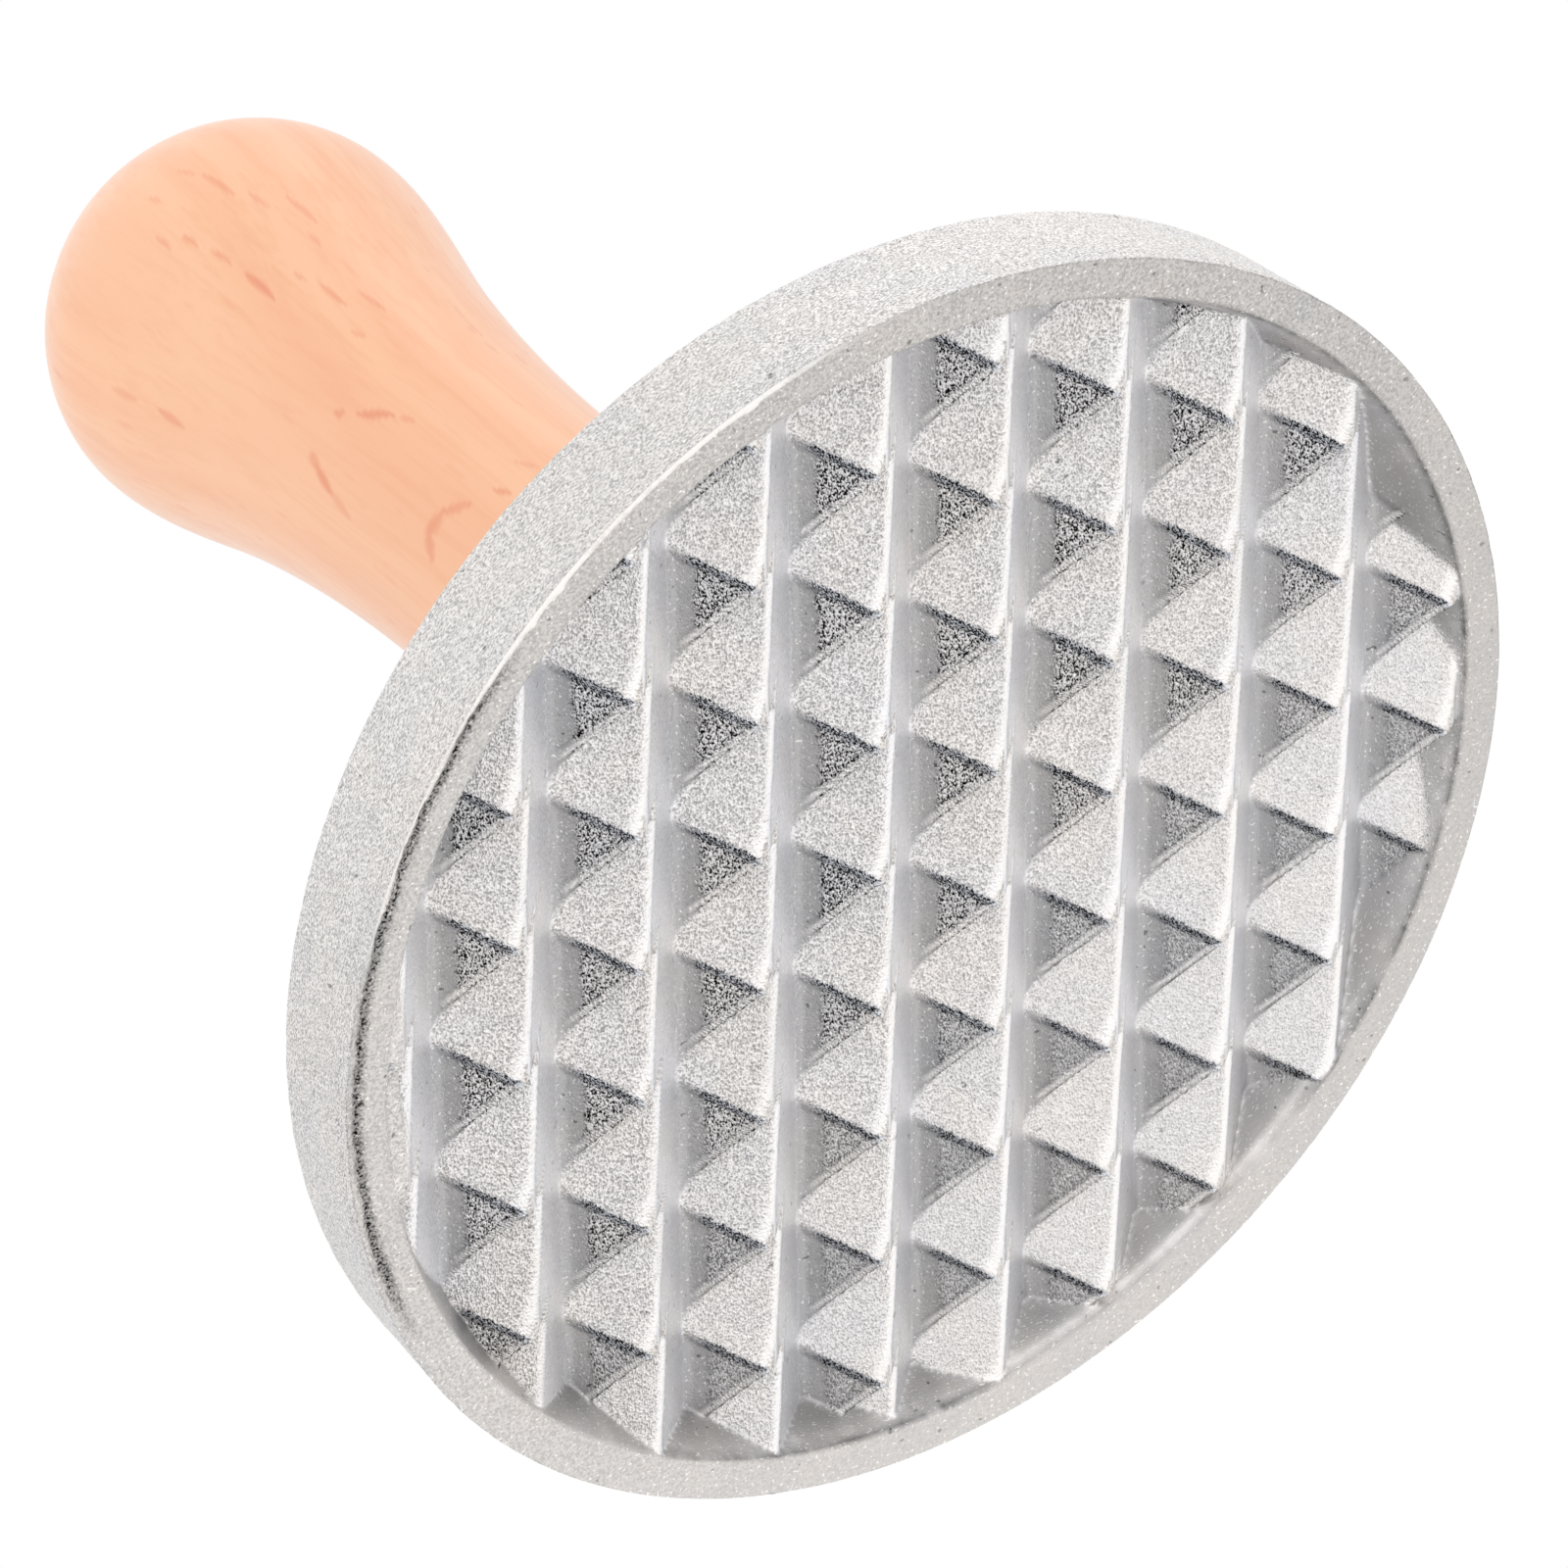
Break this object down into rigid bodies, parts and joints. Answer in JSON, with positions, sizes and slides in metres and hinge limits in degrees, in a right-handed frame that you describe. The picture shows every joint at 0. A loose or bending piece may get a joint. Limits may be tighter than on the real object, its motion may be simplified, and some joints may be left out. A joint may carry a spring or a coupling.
{
  "type": "cookie stamp",
  "caption": "Hand stamp for cookie dough: a round cast metal plate with a faceted, grooved face and a turned wooden handle on its back that unscrews.",
  "frame": {"origin": "centre of the flat rim of the stamping face, with the stamp standing on that rim", "axes": "+Z along the handle away from the stamping face; the face's grooves run along Y"},
  "size_m": [0.076, 0.076, 0.0825],
  "materials": {
    "cast_aluminium": "as cast, fine grain, satin",
    "beech": "sanded, light oil, satin",
    "zinc_plated_steel": "zinc plated"
  },
  "bodies": {
    "head": {"stamp_head": "cast_aluminium"},
    "stud": {"threaded_stud": "zinc_plated_steel"},
    "grip": {"handle": "beech"}
  },
  "joints": [
    {"name": "stud_rise", "type": "slide", "parent": "head", "child": "stud", "axis": [0, 0, 1], "range_m": [0, 0.008]},
    {"name": "handle_unscrew", "type": "hinge", "parent": "stud", "child": "grip", "pos_m": [0, 0, 0.0121], "axis": [0, 0, 1], "range_deg": [0, 2880]}
  ],
  "couplings": [
    {"joint": "stud_rise", "follows": "handle_unscrew", "m_per_rad": 0.00015915}
  ]
}
